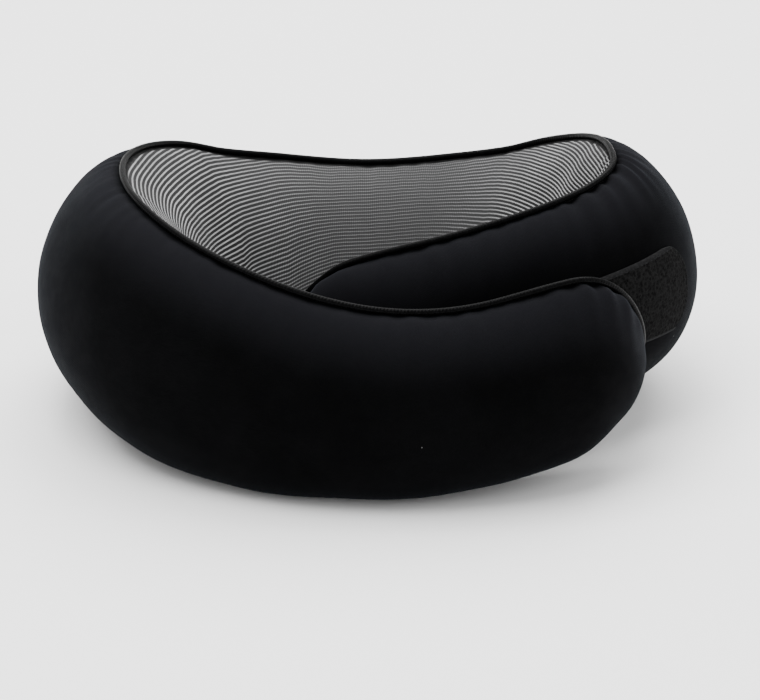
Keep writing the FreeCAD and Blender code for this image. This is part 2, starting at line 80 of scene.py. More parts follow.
class Curve:
    """Cubic spline through rows of values; an end slope that isn't given is left free."""

    def __init__(self, knots, values, start=None, end=None):
        x, y = np.asarray(knots, float), np.asarray(values, float)
        n, h = len(x), np.diff(np.asarray(knots, float))
        rise = np.diff(y, axis=0) / h[:, None]
        a, b = np.zeros((n, n)), np.zeros_like(y)
        for i in range(1, n - 1):
            a[i, i - 1], a[i, i], a[i, i + 1] = h[i], 2 * (h[i - 1] + h[i]), h[i - 1]
            b[i] = 3 * (h[i] * rise[i - 1] + h[i - 1] * rise[i])
        if start is None:
            d = h[0] + h[1]
            a[0, 0], a[0, 1] = h[1], d
            b[0] = ((h[0] + 2 * d) * h[1] * rise[0] + h[0] ** 2 * rise[1]) / d
        else:
            a[0, 0], b[0] = 1, start
        if end is None:
            d = h[-1] + h[-2]
            a[-1, -1], a[-1, -2] = h[-2], d
            b[-1] = (h[-1] ** 2 * rise[-2] + (2 * d + h[-1]) * h[-2] * rise[-1]) / d
        else:
            a[-1, -1], b[-1] = 1, end
        self.x, self.y, self.m = x, y, np.linalg.solve(a, b)

    def at(self, t, slope=False):
        t = np.atleast_1d(np.asarray(t, float))
        i = np.clip(np.searchsorted(self.x, t, side="right") - 1, 0, len(self.x) - 2)
        h = (self.x[i + 1] - self.x[i])[:, None]
        u = ((t - self.x[i]) / h[:, 0])[:, None]
        y0, y1, m0, m1 = self.y[i], self.y[i + 1], self.m[i] * h, self.m[i + 1] * h
        if slope:
            return ((6 * u * u - 6 * u) * (y0 - y1) + (3 * u * u - 4 * u + 1) * m0
                    + (3 * u * u - 2 * u) * m1) / h
        return ((2 * u ** 3 - 3 * u * u + 1) * y0 + (u ** 3 - 2 * u * u + u) * m0
                + (3 * u * u - 2 * u ** 3) * y1 + (u ** 3 - u * u) * m1)


def chords(points):
    return np.concatenate([[0.0], np.cumsum(np.linalg.norm(np.diff(points, axis=0), axis=1))])


class Arm:
    """One half of the pillow, followed along its outer face from the nape to the tip."""

    def __init__(self, rows, side):
        self.side = side
        rows = np.array(rows)
        plan = np.column_stack([rows[:, 0] * HALF_WIDTH, rows[:, 1] * HALF_DEPTH])
        self.params = chords(plan)
        self.length = self.params[-1]
        end = (plan[-1] - plan[-2]) / np.linalg.norm(plan[-1] - plan[-2])
        self.plan = Curve(self.params, plan, np.array([side, 0.0]), end)
        values = np.column_stack([
            rows[:, 2] * SIDE_WALL, rows[:, 3] * SIDE_HEIGHT + LIFT, rows[:, 4] * SIDE_HEIGHT + LIFT])
        self.values = Curve(self.params, values, np.zeros(3))
        self.bulges = rows[:, 5]

    def travel(self, s):
        t = self.plan.at(s, slope=True)
        return t / np.linalg.norm(t, axis=1)[:, None]

    def section(self, s, face):
        """The interpolation points of one face's curve at a distance along the arm."""
        here = np.append(self.plan.at(s)[0], 0.0)
        tx, ty = self.travel(s)[0]
        inward = np.array([-ty, tx, 0.0]) * -self.side
        wall, top, low = self.values.at(s)[0]
        left = max(self.length - s, 0.0)
        closing = 1.0
        if left < TIP_CORNER:
            closing = max(1 - (1 - left / TIP_CORNER) ** TIP_POWER, 0.0) ** (1 / TIP_POWER)
        tip = (1 - min(1.0, left / TIP_FADE)) ** 1.5
        row = min(np.searchsorted(self.params, s, side="right") - 1, len(self.params) - 2)
        share = np.clip((s - self.params[row]) / (self.params[row + 1] - self.params[row]), 0, 1)
        bulge = self.bulges[row] + (self.bulges[row + 1] - self.bulges[row]) * share * share * (3 - 2 * share)
        level = TIP_LEVEL * (top + low)
        top, low = level + (top - level) * closing, level + (low - level) * closing
        thin = wall * (TIP_LEAST_WALL + (1 - TIP_LEAST_WALL) * closing)
        base = here + inward * (wall - thin)
        found = []
        for across, up in face:
            at = across + (TIP_SEAM.get((across, up), across) - across) * tip
            if at > 0.5:
                at = 0.5 + (at - 0.5) * bulge
            found.append(base + inward * (at * thin) + UP * (low + (top - low) * up))
        return np.array(found)

    def ring(self, s, face, shares):
        """Points at shares of a face's curve."""
        points = self.section(s, face)
        knots = chords(points)
        return Curve(knots, points).at(np.asarray(shares) * knots[-1])


LEFT, RIGHT = Arm(LEFT_ARM, -1), Arm(RIGHT_ARM, 1)
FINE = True


def walk(step):
    """Distances from the left tip (negative) round the nape to the right tip, closer at the rounded tips."""
    def half(arm):
        corner = arm.length - TIP_CORNER
        even = np.linspace(0, corner, max(2, int(round(corner / step))) + 1)
        count = max(6, int(round(60 / step)))
        turned = np.linspace(0, math.pi / 2, count + 1)[1:]
        return np.concatenate([even, arm.length - TIP_CORNER * (1 - np.sin(turned))])
    left, right = half(LEFT), half(RIGHT)
    # the stations where the pieces are cut are snapped to, so that a cut lies on a ring
    for values, arm in ((left, LEFT), (right, RIGHT)):
        values[np.argmin(abs(values - arm.params[CUT]))] = arm.params[CUT]
    return np.concatenate([-left[::-1], right[1:]])


def arm_at(w):
    return (RIGHT, w) if w >= 0 else (LEFT, -w)


def grid(ways, face, shares):
    """Points on a face for each distance and share: rows along the pillow, columns across it, mm."""
    rows = []
    for w in ways:
        arm, s = arm_at(w)
        rows.append(arm.ring(s, face, shares))
    return np.array(rows)


def grid_normals(p, outward):
    along = np.gradient(p, axis=0)
    across = np.gradient(p, axis=1)
    n = np.cross(along, across)
    size = np.linalg.norm(n, axis=2, keepdims=True)
    n = n / np.maximum(size, 1e-9)
    middle = n[len(n) // 2, n.shape[1] // 2]
    return n if middle @ outward > 0 else -n


# ---------------------------------------------------------------- noise
def lumps(x, y, scale_x, scale_y, seed):
    """Smooth random values from about -1 to 1 over a plane, with the given feature sizes."""
    rng = np.random.default_rng(seed)
    out = np.zeros(np.broadcast(x, y).shape)
    for _ in range(14):
        angle, size, phase = rng.uniform(0, 2 * math.pi), rng.uniform(0.6, 1.5), rng.uniform(0, 2 * math.pi)
        run = x * math.cos(angle) / scale_x + y * math.sin(angle) / scale_y
        out = out + np.sin(2 * math.pi * run * size + phase)
    return out / 4.5


# ---------------------------------------------------------------- meshes
def build(name, verts, faces, normals=None, uvs=None, material=None):
    """A mesh object from mm points; uvs are {layer name: per-vertex pairs}."""
    mesh = bpy.data.meshes.new(name)
    mesh.from_pydata((np.asarray(verts) * MM).tolist(), [], np.asarray(faces).tolist())
    loops = np.zeros(len(mesh.loops), int)
    mesh.loops.foreach_get("vertex_index", loops)
    for layer, values in (uvs or {}).items():
        made = mesh.uv_layers.new(name=layer)
        made.data.foreach_set("uv", np.asarray(values, float)[loops].ravel().astype(np.float32))
    mesh.shade_smooth()
    if normals is not None:
        mesh.normals_split_custom_set_from_vertices(np.asarray(normals, float).tolist())
    made = bpy.data.objects.new(name, mesh)
    bpy.context.scene.collection.objects.link(made)
    if material:
        mesh.materials.append(material)
    return made


def strip_faces(rows, cols, flip=False, closed=False):
    i, j = np.meshgrid(np.arange(rows - 1), np.arange(cols if closed else cols - 1), indexing="ij")
    a, b = i * cols + j, i * cols + (j + 1) % cols
    c, d = (i + 1) * cols + (j + 1) % cols, (i + 1) * cols + j
    quads = np.stack([a, b, c, d], -1).reshape(-1, 4)
    return quads[:, ::-1] if flip else quads


def sheet_piece(name, p, n, uvs, rows, material):
    """A piece of a grid surface between two rows, with the whole surface's normals."""
    a, b = rows
    part, normal = p[a:b + 1], n[a:b + 1]
    faces = strip_faces(part.shape[0], part.shape[1])
    v = part.reshape(-1, 3)
    face_normal = np.cross(v[faces[:, 1]] - v[faces[:, 0]], v[faces[:, 3]] - v[faces[:, 0]])
    if (face_normal * normal.reshape(-1, 3)[faces[:, 0]]).sum() < 0:
        faces = faces[:, ::-1]
    cut = {k: u[a:b + 1].reshape(-1, 2) for k, u in uvs.items()}
    return build(name, v, faces, normal.reshape(-1, 3), cut, material)


def tube_rings(path, radius, sides, closed=False):
    """Rings of a tube along a path, and their normals; the frame is carried along without twist."""
    path = np.asarray(path, float)
    if closed:
        tangent = np.roll(path, -1, axis=0) - np.roll(path, 1, axis=0)
    else:
        tangent = np.gradient(path, axis=0)
    tangent /= np.maximum(np.linalg.norm(tangent, axis=1, keepdims=True), 1e-9)
    side = np.cross(tangent[0], UP if abs(tangent[0][2]) < 0.9 else np.array([1.0, 0, 0]))
    sides_found = []
    for t in tangent:
        side = side - t * (side @ t)
        side = side / np.linalg.norm(side)
        sides_found.append(side)
    u = np.array(sides_found)
    v = np.cross(tangent, u)
    angle = np.linspace(0, 2 * math.pi, sides, endpoint=False)
    radius = np.broadcast_to(np.asarray(radius, float), (len(path),))
    n = u[:, None] * np.cos(angle)[None, :, None] + v[:, None] * np.sin(angle)[None, :, None]
    return path[:, None] + n * radius[:, None, None], n


# ---------------------------------------------------------------- materials
class Nodes:
    """A short way to write a procedural material."""

    def __init__(self, name):
        self.material = bpy.data.materials.new(name)
        self.material.use_nodes = True
        self.tree = self.material.node_tree
        self.shader = self.tree.nodes["Principled BSDF"]

    def add(self, kind, inputs=(), **props):
        node = self.tree.nodes.new(kind)
        for key, value in props.items():
            setattr(node, key, value)
        for key, value in dict(inputs).items():
            self.put(node.inputs[key], value)
        return node

    def put(self, socket, value):
        if isinstance(value, bpy.types.NodeSocket):
            self.tree.links.new(value, socket)
        else:
            socket.default_value = value

    def math(self, operation, a, b=0.0, c=0.0):
        return self.add("ShaderNodeMath", {0: a, 1: b, 2: c}, operation=operation).outputs[0]

    def ramp(self, value, low, high, start=0.0, end=1.0, smooth=True):
        return self.add("ShaderNodeMapRange", {"Value": value, "From Min": low, "From Max": high,
                        "To Min": start, "To Max": end},
                        interpolation_type="SMOOTHSTEP" if smooth else "LINEAR").outputs["Result"]

    def mix(self, share, a, b):
        return self.add("ShaderNodeMix", {"Factor": share, 6: a, 7: b}, data_type="RGBA").outputs[2]

    def noise(self, vector, scale, detail=2.0, rough=0.5):
        return self.add("ShaderNodeTexNoise", {"Vector": vector, "Scale": scale, "Detail": detail,
                        "Roughness": rough}).outputs["Fac"]

    def uv(self, layer):
        return self.add("ShaderNodeUVMap", uv_map=layer).outputs["UV"]

    def split(self, vector):
        return self.add("ShaderNodeSeparateXYZ", {"Vector": vector}).outputs

    def place(self):
        return self.add("ShaderNodeTexCoord").outputs["Object"]

    def bump(self, height, strength, distance, normal=None):
        inputs = {"Height": height, "Strength": strength, "Distance": distance}
        if normal is not None:
            inputs["Normal"] = normal
        return self.add("ShaderNodeBump", inputs).outputs["Normal"]

    def finish(self, **inputs):
        for key, value in inputs.items():
            self.put(self.shader.inputs[key.replace("_", " ")], value)
        return self.material


def grey(v, blue=1.0):
    return (v, v * (1 + 0.02 * (blue - 1)), v * blue, 1.0)


def cover_material():
    """Smooth matte stretch knit, black with a faint cool sheen, a few specks of lint, and a painted band of
    light below the top seam.
    """
    m = Nodes("cover_knit")
    x, y, _ = m.split(m.uv("UVMap"))
    rib = m.math("SINE", m.math("MULTIPLY", x, 2 * math.pi / 0.085))
    loop = m.math("SINE", m.math("MULTIPLY", y, 2 * math.pi / 0.07))
    knit = m.math("MULTIPLY", rib, loop)
    spot = m.place()
    cloud = m.noise(spot, 22.0, 3.0, 0.55)
    wear = m.noise(spot, 160.0, 4.0, 0.65)
    lint = m.add("ShaderNodeTexVoronoi", {"Vector": spot, "Scale": 95.0, "Randomness": 1.0}).outputs
    near = m.math("LESS_THAN", lint["Distance"], 0.045)
    rare = m.math("GREATER_THAN", m.split(lint["Color"])[0], 0.93)
    speck = m.math("MULTIPLY", near, rare)
    base = m.mix(m.ramp(cloud, 0.3, 0.72), grey(0.0006, 1.10), grey(0.0013, 1.12))
    base = m.mix(m.math("MULTIPLY", m.ramp(wear, 0.55, 0.8), 0.35), base, grey(0.0022, 1.15))
    # painted light: a lighter, cooler band from just below the top seam, where the shoulder faces up into the
    # light, fading out within about 36 mm
    painted_top_light = m.math("MULTIPLY", m.ramp(y, 0.12, 0.5), m.ramp(y, 0.5, 3.6, 0.85, 0.0))
    base = m.mix(painted_top_light, base, grey(0.0068, 1.22))
    base = m.mix(m.math("MULTIPLY", speck, 0.7), base, grey(0.10))
    height = m.math("ADD", m.math("MULTIPLY", knit, 0.35), m.math("MULTIPLY", wear, 0.9))
    return m.finish(Base_Color=base, Roughness=m.ramp(wear, 0.3, 0.7, 0.78, 0.9),
                    Normal=m.bump(height, 0.22, 0.0006), Sheen_Weight=0.028, Sheen_Roughness=0.36,
                    Sheen_Tint=(0.72, 0.82, 1.0, 1.0), Specular_IOR_Level=0.02)


def mesh_material():
    """Black mesh with fine light ribs along the panel; each rib is a row of small stitches."""
    m = Nodes("neck_mesh")
    x, y, _ = m.split(m.uv("ribs"))
    spot = m.place()
    row = m.math("FRACT", y)
    rib = m.ramp(m.math("ABSOLUTE", m.math("SUBTRACT", row, 0.5)), 0.10, 0.25, 1.0, 0.0)
    tick = m.math("FRACT", m.math("DIVIDE", x, 1.15))
    stitch = m.ramp(m.math("ABSOLUTE", m.math("SUBTRACT", tick, 0.5)), 0.22, 0.48, 1.0, 0.45)
    fade = m.ramp(m.noise(spot, 55.0, 3.0, 0.6), 0.25, 0.75, 0.75, 1.0)
    low, high, _ = m.split(m.uv("edge"))
    hem = m.ramp(m.math("MINIMUM", low, high), 0.24, 0.34)
    drawn = m.split(m.uv("stretch"))[0]
    thread = m.math("MULTIPLY", m.math("MULTIPLY", rib, stitch), fade)
    closed_up = m.math("MULTIPLY", m.math("SUBTRACT", 1.0, drawn), m.math("MULTIPLY", stitch, 0.11))
    light = m.math("MULTIPLY", m.math("ADD", m.math("MULTIPLY", thread, drawn), closed_up), hem)
    base = m.mix(light, grey(0.0025, 1.05), (0.46, 0.46, 0.465, 1.0))
    height = m.math("ADD", m.math("MULTIPLY", rib, stitch), m.math("MULTIPLY", stitch, 0.2))
    return m.finish(Base_Color=base, Roughness=m.ramp(light, 0.0, 1.0, 0.85, 0.6),
                    Normal=m.bump(height, 0.7, 0.0004), Sheen_Weight=0.03, Specular_IOR_Level=0.12)


def piping_material():
    """Tight knit sleeve over a cord, with a slight twist and a soft highlight."""
    m = Nodes("piping")
    x, y, _ = m.split(m.uv("UVMap"))
    slant = m.math("ADD", m.math("MULTIPLY", x, 7.5), m.math("MULTIPLY", y, 2.0))
    twist = m.math("SINE", m.math("MULTIPLY", slant, 2 * math.pi))
    fuzz = m.noise(m.place(), 900.0, 3.0, 0.6)
    height = m.math("ADD", m.math("MULTIPLY", twist, 0.3), fuzz)
    base = m.mix(m.ramp(fuzz, 0.35, 0.7), grey(0.0006, 1.1), grey(0.0018, 1.1))
    return m.finish(Base_Color=base, Roughness=0.36, Normal=m.bump(height, 0.5, 0.00025), Sheen_Weight=0.003,
                    Sheen_Roughness=0.3, Specular_IOR_Level=0.03)


def pile_material(name, low, high, scale, strength):
    """Brushed loops or stiff hooks: a mottled, rough pile."""
    m = Nodes(name)
    spot = m.place()
    tuft = m.noise(spot, scale, 5.0, 0.75)
    cell = m.add("ShaderNodeTexVoronoi", {"Vector": spot, "Scale": scale * 1.4}).outputs["Distance"]
    height = m.math("ADD", tuft, m.math("MULTIPLY", cell, 0.6))
    base = m.mix(m.ramp(height, 0.45, 1.0), grey(low), grey(high))
    return m.finish(Base_Color=base, Roughness=0.92, Normal=m.bump(height, strength, 0.0012),
                    Sheen_Weight=0.008, Sheen_Roughness=0.6, Specular_IOR_Level=0.02)


def plain_material(name, colour, rough, metallic=0.0, grain=600.0, bump=0.15, shine=0.3):
    m = Nodes(name)
    fleck = m.noise(m.place(), grain, 3.0, 0.6)
    lighter = tuple(min(1.0, c * 1.7 + 0.004) for c in colour) + (1.0,)
    base = m.mix(m.ramp(fleck, 0.35, 0.7), tuple(colour) + (1.0,), lighter)
    return m.finish(Base_Color=base, Roughness=m.ramp(fleck, 0.2, 0.8, rough - 0.06, rough + 0.08),
                    Metallic=metallic, Normal=m.bump(fleck, bump, 0.0002), Specular_IOR_Level=shine)


def tape_material():
    """Woven zip tape with a herringbone grain."""
    m = Nodes("zip_tape")
    x, y, z = m.split(m.place())
    slant = m.math("SINE", m.math("MULTIPLY", m.math("ADD", x, m.math("MULTIPLY", z, 1.6)), 7000.0))
    fuzz = m.noise(m.place(), 700.0, 3.0)
    height = m.math("ADD", m.math("MULTIPLY", slant, 0.4), fuzz)
    base = m.mix(m.ramp(fuzz, 0.3, 0.7), grey(0.0018), grey(0.0042))
    return m.finish(Base_Color=base, Roughness=0.8, Normal=m.bump(height, 0.4, 0.0002), Specular_IOR_Level=0.04)


# ---------------------------------------------------------------- the soft cover
def seam_distance(p):
    """Distance of each grid point to both edges of its face, measured across the face, mm."""
    step = np.linalg.norm(np.diff(p, axis=1), axis=2)
    run = np.concatenate([np.zeros((len(p), 1)), np.cumsum(step, axis=1)], axis=1)
    return run, run[:, -1:] - run


def puckered(p, n, ways, outer):
    """Adds the cover's softness: broad unevenness, and gathers that die out away from the piping."""
    top, bottom = seam_distance(p) if outer else seam_distance(p)[::-1]
    way = np.asarray(ways)[:, None] + np.zeros_like(top)
    near_top, near_bottom = np.exp(-(top / 13.0) ** 1.5), np.exp(-(bottom / 9.0) ** 1.5)
    pull = 0.3 + 1.1 * np.exp(-((way - 245) / 55.0) ** 2) + 0.6 * np.exp(-((way + 520) / 40.0) ** 2)
    gathers = (lumps(way, top * 0.25, 9.0, 60.0, 3) * near_top
               + lumps(way, bottom * 0.25, 11.0, 60.0, 5) * near_bottom)
    broad = lumps(way, top, 85.0, 70.0, 7) * 0.45 + lumps(way, top, 38.0, 34.0, 8) * 0.12
    edge = np.clip(np.minimum(top, bottom) / 3.0, 0, 1)
    tuck = -1.5 * (np.exp(-(top / 2.6) ** 2) + np.exp(-(bottom / 2.6) ** 2))
    height = broad * edge + pull * gathers * np.clip(np.minimum(top, bottom) / 2.0, 0.15, 1) + tuck
    if not outer:
        height = height * 0.6
    return p + n * height[..., None]


def sections_of(ways):
    """Rows where the pieces start and end: left arm, left bend, right bend, right arm."""
    def row(w):
        return int(np.argmin(abs(np.asarray(ways) - w)))
    return [0, row(-LEFT.params[CUT]), row(0), row(RIGHT.params[CUT]), len(ways) - 1]


def bend(piece, side):
    """The piece between the nape and one arm gets its transform baked; the hinge and the direction past it are
    found but not used.
    """
    arm = LEFT if side < 0 else RIGHT
    hinge = np.append(arm.plan.at(arm.params[SPLIT])[0], 0.0)
    way = np.append(arm.travel(arm.params[SPLIT])[0], 0.0)
    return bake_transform(piece)


def attach(pieces):
    """Of the four stretches of a cover layer (left arm, left bend, right bend, right arm), puts the two arms on
    their bodies and bakes the bends' transforms in place.
    """
    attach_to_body(pieces[0], "left_arm")
    bend(pieces[1], -1)
    bend(pieces[2], 1)
    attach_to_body(pieces[3], "right_arm")


STRETCHES = ("left", "nape_left", "nape_right", "right")


def cover_shell(material):
    step = 2.0 if FINE else 4.0
    ways = walk(step)
    shares = np.linspace(0, 1, 76 if FINE else 40)
    p = grid(ways, OUTER_FACE, shares)
    n = grid_normals(p, np.array([0, 1.0, 0]))
    p = puckered(p, n, ways, True)
    n = grid_normals(p, np.array([0, 1.0, 0]))
    across, _ = seam_distance(p)
    uv = np.stack([np.asarray(ways)[:, None] + 0 * across, across], -1) * 0.1
    rows = sections_of(ways)
    made = [sheet_piece(f"cover_{name}", p, n, {"UVMap": uv}, (rows[i], rows[i + 1]), material)
            for i, name in enumerate(STRETCHES)]
    attach(made)
    return made


# distances along the pillow from the nape, + to the right, and at each: ribs per mm across the panel, ribs that
# leave the middle per mm along it, and how far the mesh is drawn out, which parts its ribs
RIB_WAYS = (-420, -200, -100, -50, -20, 40, 75, 120, 260)
RIBS_PER_MM = (0.48, 0.50, 0.475, 0.53, 0.66, 0.66, 0.56, 0.60, 0.62)
RIB_DRIFT = (0.01, 0.02, -0.095, -0.11, -0.06, 0.01, 0.055, 0.10, 0.02)
RIB_STRETCH = (0.75, 1.0, 0.85, 0.45, 0.22, 0.18, 0.42, 0.85, 1.0)


def rib_count(ways, across):
    """Which rib a point of the neck panel is on: the ribs run level round the neck, not along the seams."""
    ways = np.asarray(ways, float)
    fine = np.arange(ways[0], ways[-1] + 1.0, 1.0)
    drift = np.cumsum(np.interp(fine, RIB_WAYS, RIB_DRIFT))
    drift -= np.interp(0.0, fine, drift)
    density = np.interp(ways, RIB_WAYS, RIBS_PER_MM)
    middle = across[:, -1:] * 0.67
    way = ways[:, None] + 0 * across
    wave = 0.30 * lumps(way, across, 170.0, 60.0, 21) + 0.10 * lumps(way, across, 75.0, 30.0, 22)
    return density[:, None] * (across - middle) + np.interp(ways, fine, drift)[:, None] + wave


def neck_panel(material):
    step = 2.0 if FINE else 4.0
    ways = walk(step)
    shares = np.linspace(0, 1, 56 if FINE else 32)
    p = grid(ways, NECK_FACE, shares)
    n = grid_normals(p, np.array([0, -1.0, 0]))
    p = puckered(p, n, ways, False)
    n = grid_normals(p, np.array([0, -1.0, 0]))
    up, down = seam_distance(p)
    ribs = np.stack([np.asarray(ways)[:, None] + 0 * down, rib_count(ways, up)], -1)
    edge = np.stack([up, down], -1) * 0.1
    drawn = np.interp(ways, RIB_WAYS, RIB_STRETCH)[:, None] * (1 - 0.35 * np.exp(-down / 14.0))
    rows = sections_of(ways)
    maps = {"ribs": ribs, "edge": edge, "stretch": np.stack([drawn, drawn], -1)}
    made = [sheet_piece(f"neck_panel_{name}", p, n, maps, (rows[i], rows[i + 1]), material)
            for i, name in enumerate(STRETCHES)]
    attach(made)
    return made


def seam_line(ways, top):
    """The piping's centreline along the top or the bottom seam."""
    points = []
    for w in ways:
        arm, s = arm_at(w)
        outer, neck = arm.section(s, OUTER_FACE), arm.section(s, NECK_FACE)
        seam = outer[0] if top else outer[-1]
        middle = np.vstack([outer, neck]).mean(axis=0)
        out = seam - middle
        points.append(seam + out / max(np.linalg.norm(out), 1e-6) * 0.2)
    return np.array(points)


def piping(material):
    """One cord round both seams, cut where the cover is."""
    ways = walk(1.6 if FINE else 3.0)
    rows = sections_of(ways)
    top, bottom = seam_line(ways, True), seam_line(ways, False)
    sides = 12
    loop = np.vstack([top, bottom[::-1][1:-1]])
    rings, normals = tube_rings(loop, PIPING_RADIUS, sides, closed=True)
    count = len(loop)
    spans = {
        "left": [list(range(count - rows[1], count)) + list(range(0, rows[1] + 1))],
        "nape_left": [range(rows[1], rows[2] + 1), range(count - rows[2], count - rows[1] + 1)],
        "nape_right": [range(rows[2], rows[3] + 1), range(count - rows[3], count - rows[2] + 1)],
        "right": [range(rows[3], count - rows[3] + 1)],
    }
    made = []
    for name in STRETCHES:
        verts, faces, norms, uvs = [], [], [], []
        for span in spans[name]:
            index = [i % count for i in span]
            start = sum(len(v) for v in verts)
            verts.append(rings[index].reshape(-1, 3))
            norms.append(normals[index].reshape(-1, 3))
            faces.append(strip_faces(len(index), sides, closed=True) + start)
            length = chords(loop[index]) * 0.1
            turn = np.arange(sides) / sides
            uvs.append(np.stack(np.meshgrid(length, turn, indexing="ij"), -1).reshape(-1, 2))
        made.append(build(f"piping_{name}", np.vstack(verts), np.vstack(faces), np.vstack(norms),
                          {"UVMap": np.vstack(uvs)}, material))
    attach(made)
    return made


# ---------------------------------------------------------------- closure patches
WOVEN_EDGE = 1.9  # width of a patch's woven border, mm


def patch(name, arm, face, ways, span, lift, thick, corner, material, edge_material, body, corners):
    """A pad sewn on a face: rounded outline, thick edge, and a woven border round it."""
    shares = np.linspace(span[0], span[1], 40)
    p = np.array([arm.ring(s, face, shares) for s in ways])
    n = grid_normals(p, np.zeros(3))
    middle = n[len(n) // 2, n.shape[1] // 2]
    centre = arm.section(float(np.mean(ways)), OUTER_FACE).mean(axis=0)
    if middle @ (p[len(n) // 2, n.shape[1] // 2] - centre) < 0:
        n = -n
    u = np.linspace(-1, 1, p.shape[0])[:, None] + np.zeros(p.shape[:2])
    v = np.linspace(-1, 1, p.shape[1])[None, :] + np.zeros(p.shape[:2])
    half_u = np.linalg.norm(p[-1, 20] - p[0, 20]) / 2
    half_v = np.linalg.norm(np.diff(p[len(p) // 2], axis=0), axis=1).sum() / 2
    # rounded corners: the grid's square is squeezed towards a rounded rectangle
    ru, rv = corner / half_u, corner / half_v
    over = np.clip((abs(v) - (1 - rv)) / rv, 0, 1)
    su = u * np.where(corners(u, v), 1 - ru * (1 - np.sqrt(1 - over ** 2)), 1.0)
    edge = np.minimum((1 - abs(u)) * half_u, (1 - abs(v)) * half_v)
    rows = (su + 1) / 2 * (p.shape[0] - 1)
    low = np.clip(rows.astype(int), 0, p.shape[0] - 2)
    part = (rows - low)[..., None]
    cols = np.arange(p.shape[1])[None, :] + np.zeros(p.shape[:2], int)
    q = p[low, cols] * (1 - part) + p[low + 1, cols] * part
    m = n[low, cols] * (1 - part) + n[low + 1, cols] * part
    rise = lift + thick * np.clip(edge / 0.5, 0, 1) ** 0.5
    rng = np.random.default_rng(11)
    rough = rng.uniform(-1, 1, edge.shape) * 0.16 * (edge > 2.0)
    q = q + m * (rise + rough)[..., None]
    faces = strip_faces(*q.shape[:2])
    verts = q.reshape(-1, 3)
    check = np.cross(verts[faces[:, 1]] - verts[faces[:, 0]], verts[faces[:, 3]] - verts[faces[:, 0]])
    if (check * m.reshape(-1, 3)[faces[:, 0]]).sum() < 0:
        faces = faces[:, ::-1]
    made = build(name, verts, faces, None, None, material)
    made.data.materials.append(edge_material)
    for quad, polygon in zip(faces, made.data.polygons):
        if edge.reshape(-1)[quad].max() < WOVEN_EDGE:
            polygon.material_index = 1
    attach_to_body(made, body)
    # border stitches, just inside the woven edge
    ring = [(i, 2) for i in range(2, q.shape[0] - 2)]
    ring += [(q.shape[0] - 3, j) for j in range(3, q.shape[1] - 2)]
    ring += [(i, q.shape[1] - 3) for i in range(q.shape[0] - 4, 1, -1)]
    ring += [(2, j) for j in range(q.shape[1] - 4, 2, -1)]
    line = np.array([q[i, j] + m[i, j] * 0.12 for i, j in ring])
    return made, line


def stitches(name, line, length, gap, radius, material, closed=True):
    """A row of short thread stitches along a line."""
    if closed:
        line = np.vstack([line, line[:1]])
    run = chords(line)
    count = max(1, int(run[-1] / (length + gap)))
    verts, faces, start = [], [], 0
    for k in range(count):
        at = np.linspace(k * (length + gap), k * (length + gap) + length, 4)
        path = np.column_stack([np.interp(at, run, line[:, c]) for c in range(3)])
        rings, _ = tube_rings(path, np.array([0.4, 1, 1, 0.4]) * radius, 6)
        verts.append(rings.reshape(-1, 3))
        faces.append(strip_faces(4, 6, closed=True) + start)
        start += 24
    return build(name, np.vstack(verts), np.vstack(faces), None, None, material)


# ---------------------------------------------------------------- the zip
def zip_ring(turn, across, out):
    """A point on the zip: distance along the nape, across the track, and off the cover."""
    arm, s = arm_at(turn)
    points = arm.section(s, OUTER_FACE)
    knots = chords(points)
    curve = Curve(knots, points)
    at = ZIP_SHARE * knots[-1] - across
    here, slope = curve.at(at)[0], curve.at(at, slope=True)[0]
    travel = np.append(arm.travel(s)[0], 0.0)
    normal = np.cross(travel, slope)
    normal /= np.linalg.norm(normal)
    if normal[1] < 0:
        normal = -normal
    return here + normal * out


def zip_coil(material):
    """Both sides of the nylon coil: interlocking turns along the track."""
    verts, faces, start = [], [], 0
    pitch, reach = 1.25, ZIP_REACH - 2.5
    turns = int(2 * reach / pitch)
    per = 9
    for side, phase in ((1, 0.0), (-1, 0.5)):
        path = []
        for k in range(turns * per + 1):
            a = 2 * math.pi * (k / per + phase)
            turn = -reach + pitch * k / per
            path.append(zip_ring(turn, side * (1.05 + 0.95 * math.cos(a)), 1.45 + 0.55 * math.sin(a)))
        rings, _ = tube_rings(np.array(path), 0.3, 5)
        verts.append(rings.reshape(-1, 3))
        faces.append(strip_faces(len(path), 5, closed=True) + start)
        start += len(path) * 5
    made = build("zip_coil", np.vstack(verts), np.vstack(faces), None, None, material)
    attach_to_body(made, "nape")
    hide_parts("zip_coil_upper", "zip_coil_lower")
    return made


# ---------------------------------------------------------------- stage
def studio():
    world = bpy.data.worlds.new("studio")
    bpy.context.scene.world = world
    world.use_nodes = True
    world.node_tree.nodes["Background"].inputs["Color"].default_value = (1.0, 1.0, 1.0, 1.0)
    world.node_tree.nodes["Background"].inputs["Strength"].default_value = 1.1
    far = 9000
    floor = build("floor", [(-far, -far, 0), (far, -far, 0), (far, far, 0), (-far, far, 0)], [[0, 1, 2, 3]])
    m = Nodes("floor")
    fleck = m.noise(m.place(), 3.0, 2.0)
    base = m.mix(fleck, (0.945, 0.945, 0.945, 1), (0.96, 0.96, 0.96, 1))
    floor.data.materials.append(m.finish(Base_Color=base, Roughness=0.9, Specular_IOR_Level=0.1))
    lamps = [("key", (-0.7, -0.3, 2.0), 1.5, 60.0), ("fill", (1.5, -0.5, 1.2), 1.4, 8.0),
             ("back", (0.2, 1.0, 1.8), 1.8, 70.0)]
    for name, place, size, power in lamps:
        light = bpy.data.lights.new(name, "AREA")
        light.size, light.energy = size, power
        lamp = bpy.data.objects.new(name, light)
        lamp.location = place
        lamp.rotation_euler = (Vector((0, 0, 0.05)) - Vector(place)).to_track_quat("-Z", "Y").to_euler()
        bpy.context.scene.collection.objects.link(lamp)


